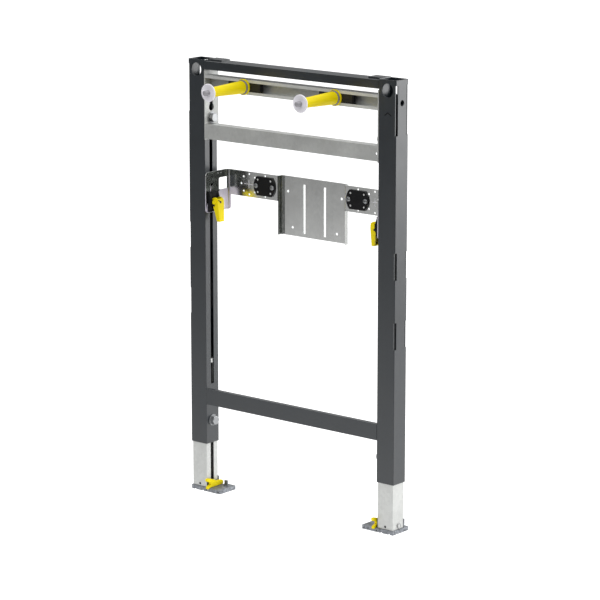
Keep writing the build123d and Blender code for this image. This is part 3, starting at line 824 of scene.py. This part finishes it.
def makeFootDetails(side, sign):
    v = pinRimShadeValues
    inner, outer, sunk, proud = v["inner"], v["outer"], -v["sunk"], v["proud"]
    profile = [(inner, sunk), (inner, proud), (outer, proud), (outer, sunk)]
    mesh = turned(profile, faceOf(side + "_foot_pin", side), (sign, 0, 0), v["count"], True)
    # painted shade: the ring's darker steel stands for the groove round the pin head
    newPiece(side + "PinRimShade", mesh, screwSteel, side + "_foot")
    dark = materials["black_nut"]
    centre = faceOf(side + "_foot_tube", "front")
    centre.z = holeShadeValues["rise"] * mm
    # painted shade: a dark disc inside the tube's front hole
    makePlug(side + "HoleShadeDisc", centre, rearward, holeShadeValues, dark, side + "_foot")
    front = faceOf(side + "_foot_plate", "front")
    for k, x in enumerate(plateRecessShadeValues["places"]):
        centre = (sign * x * mm, front.y, plateRecessShadeValues["rise"] * mm)
        name = side + "PlateRecessShade" + str(k + 1)
        # painted shade: dark discs inside small recesses of the plate's front
        makePlug(name, centre, rearward, plateRecessShadeValues, dark, side + "_foot")


# clamp levers: dark pieces painted as shade: in the recess at the end of the bolt, in its groove, and in the
# notch under the head
recessValues = {"radius": 2.2, "span": (-0.6, 0.2), "count": 20, "fromTop": 8.5}
grooveValues = {"back": 6.0, "up": 4.8, "line": 0.7, "proud": 0.2}
notchValues = {"out": (0.0, 8.55), "front": (8.8, 6.0), "rise": (-8.0, -4.6)}


def makeLeverDetails(side, sign):
    dark = materials["black_nut"]
    low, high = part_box(side + "_clamp_lever")
    middle = (low + high) / 2
    centre = faceOf(side + "_clamp_lever", opposite[side])
    centre.z = high.z - recessValues["fromTop"] * mm
    body = side + "_clamp"
    # painted shade: a dark disc in the recess at the bolt's end
    makePlug(side + "LeverRecessShade", centre, (-sign, 0, 0), recessValues, dark, body)
    v = grooveValues
    run = Vector((0.0, -v["back"], v["up"])) * mm
    wide = Vector((0.0, v["up"], v["back"])).normalized() * v["line"] * mm
    out = Vector((-sign * v["proud"], 0.0, 0.0)) * mm
    mesh = bmesh.new()
    ends = (centre, centre + run)
    corners = (-wide - out, wide - out, wide + out, -wide + out)
    skinRings(mesh, [[end + corner for corner in corners] for end in ends])
    # painted shade: a dark strip along the groove
    newPiece(side + "LeverGrooveShade", mesh, dark, body)
    v = notchValues
    x0, x1 = (middle.x + sign * out * mm for out in v["out"])
    y0, y1 = (middle.y - front * mm for front in v["front"])
    z0, z1 = (centre.z + rise * mm for rise in v["rise"])
    mesh = bmesh.new()
    corners = ((y0, z0), (y1, z0), (y1, z1), (y0, z1))
    skinRings(mesh, [[Vector((x, y, z)) for y, z in corners] for x in (x0, x1)])
    # painted shade: a dark block in the notch under the head
    newPiece(side + "LeverNotchShade", mesh, dark, body)


for side, sign in sides:
    makeFootDetails(side, sign)
    makeLeverDetails(side, sign)
print("foot and lever details made")

# soft edges on the pieces that stay as they came: the bevel's width by the end of the node's name
edgeValues = {
    "_post": 0.35, "crossbar": 0.4, "_rail": 0.35, "rail_bracket": 0.35, "rail_nut": 0.5, "traverse": 0.25,
    "tap_plate": 0.5, "clamp_lever": 0.8, "clamp_housing": 0.6, "clamp_bolt": 0.4, "clamp_pin": 0.3,
    "foot_tube": 0.4, "foot_plate": 0.9, "foot_lever": 0.7, "foot_pin": 0.3,
}
edgeAngle = 40.0


def softenEdges(piece, width):
    soft = piece.modifiers.new("softEdges", "BEVEL")
    soft.width = width * mm
    soft.segments = 2
    soft.limit_method = "ANGLE"
    soft.angle_limit = math.radians(edgeAngle)
    soft.harden_normals = False


for name, piece in nodes.items():
    for ending, width in edgeValues.items():
        if name.endswith(ending):
            softenEdges(piece, width)
            break
print("edges softened")

# pale floor: lit and shaded near the frame; what other rays meet is painted shade, darker away from the
# frame and in a dark spot, so the metal reflects dark
floorValues = {
    "half": 30.0, "height": -0.12, "middle": (0.5, -0.3), "near": 0.95, "far": 0.22, "nearReach": 0.8,
    "farReach": 4.2, "paintedDarkSpot": (2.2, -2.8), "darkReach": 1.8, "darkEdge": 0.6, "dark": 0.03, "lift": 0.42,
}


def makeFloor(v):
    half = v["half"]
    mesh = bpy.data.meshes.new("floor")
    corners = [(-half, -half, 0), (half, -half, 0), (half, half, 0), (-half, half, 0)]
    mesh.from_pydata(corners, [], [(0, 1, 2, 3)])
    floor = bpy.data.objects.new("floor", mesh)
    floor.location.z = v["height"]
    bpy.context.scene.collection.objects.link(floor)
    material = bpy.data.materials.new("floorWhite")
    material.use_nodes = True
    tree = material.node_tree
    tree.nodes.clear()
    place = objectPlace(tree)
    # painted shade: the floor's colour falls off away from the frame for rays other than the camera's
    reach = distanceNode(tree, place, v["middle"])
    tone = rangeNode(tree, reach, v["nearReach"], v["farReach"], v["near"], v["far"])
    # painted shade: a dark spot on the floor for the metal to reflect
    spot = distanceNode(tree, place, v["paintedDarkSpot"])
    shade = rangeNode(tree, spot, v["darkReach"], v["darkReach"] + v["darkEdge"], v["dark"], 1.0)
    tone = mathNode(tree, "MULTIPLY", tone, shade)
    seen = addNode(tree, "ShaderNodeLightPath").outputs["Is Camera Ray"]
    colour = rangeNode(tree, seen, 0.0, 1.0, tone, v["near"])
    matte = addNode(tree, "ShaderNodeBsdfDiffuse", {"Color": colour})
    glow = addNode(tree, "ShaderNodeEmission", {"Strength": mathNode(tree, "MULTIPLY", seen, v["lift"])})
    both = addNode(tree, "ShaderNodeAddShader", {0: matte.outputs[0], 1: glow.outputs[0]})
    addNode(tree, "ShaderNodeOutputMaterial", {"Surface": both.outputs[0]})
    mesh.materials.append(material)


# white studio behind the frame, darker towards the ground in what the metal reflects of it
worldValues = {"colour": (1.0, 1.0, 1.0), "high": 1.0, "low": 0.06, "lowHeight": 0.19, "highHeight": 0.29}


def makeWorld(v):
    world = bpy.data.worlds.new("studio")
    world.use_nodes = True
    tree = world.node_tree
    tree.nodes.clear()
    seen = addNode(tree, "ShaderNodeLightPath").outputs["Is Camera Ray"]
    direction = addNode(tree, "ShaderNodeTexCoord").outputs["Generated"]
    up = addNode(tree, "ShaderNodeSeparateXYZ", {0: direction}).outputs["Z"]
    light = rangeNode(tree, up, v["lowHeight"], v["highHeight"], v["low"], v["high"])
    strength = rangeNode(tree, seen, 0.0, 1.0, light, 1.0)
    back = addNode(tree, "ShaderNodeBackground", {"Color": (*v["colour"], 1.0), "Strength": strength})
    addNode(tree, "ShaderNodeOutputWorld", {"Surface": back.outputs[0]})
    bpy.context.scene.world = world


def aim(thing, place, target):
    thing.location = place
    thing.rotation_euler = (Vector(target) - Vector(place)).to_track_quat("-Z", "Y").to_euler()


lampValues = {
    "sidePanel": {"place": (1.75, 1.95, 1.15), "target": (0.0, 0.0, 0.7), "size": (2.4, 2.2), "power": 48.0},
    "topPanel": {"place": (0.9, -1.3, 2.7), "target": (0.0, 0.0, 0.5), "size": (1.8, 1.8), "power": 11.0},
}


def makeLamp(name, v):
    lamp = bpy.data.lights.new(name, "AREA")
    lamp.shape = "RECTANGLE"
    lamp.size, lamp.size_y = v["size"]
    lamp.energy = v["power"]
    thing = bpy.data.objects.new(name, lamp)
    bpy.context.scene.collection.objects.link(thing)
    aim(thing, v["place"], v["target"])


cameraValues = {
    "lens": 165.31, "sensor": 36.0, "clipEnd": 100.0,
    "place": (3.17585, -3.80765, 1.4978), "target": (0.07121, -0.03781, 0.42565),
}


def makeCamera(v):
    data = bpy.data.cameras.new("camera")
    data.lens = v["lens"]
    data.sensor_width = v["sensor"]
    data.clip_end = v["clipEnd"]
    data.dof.use_dof = False
    camera = bpy.data.objects.new("camera", data)
    bpy.context.scene.collection.objects.link(camera)
    aim(camera, v["place"], v["target"])
    bpy.context.scene.camera = camera


makeFloor(floorValues)
makeWorld(worldValues)
for name, values in lampValues.items():
    makeLamp(name, values)
makeCamera(cameraValues)
bpy.context.scene.view_settings.view_transform = "Standard"
print("stage set")
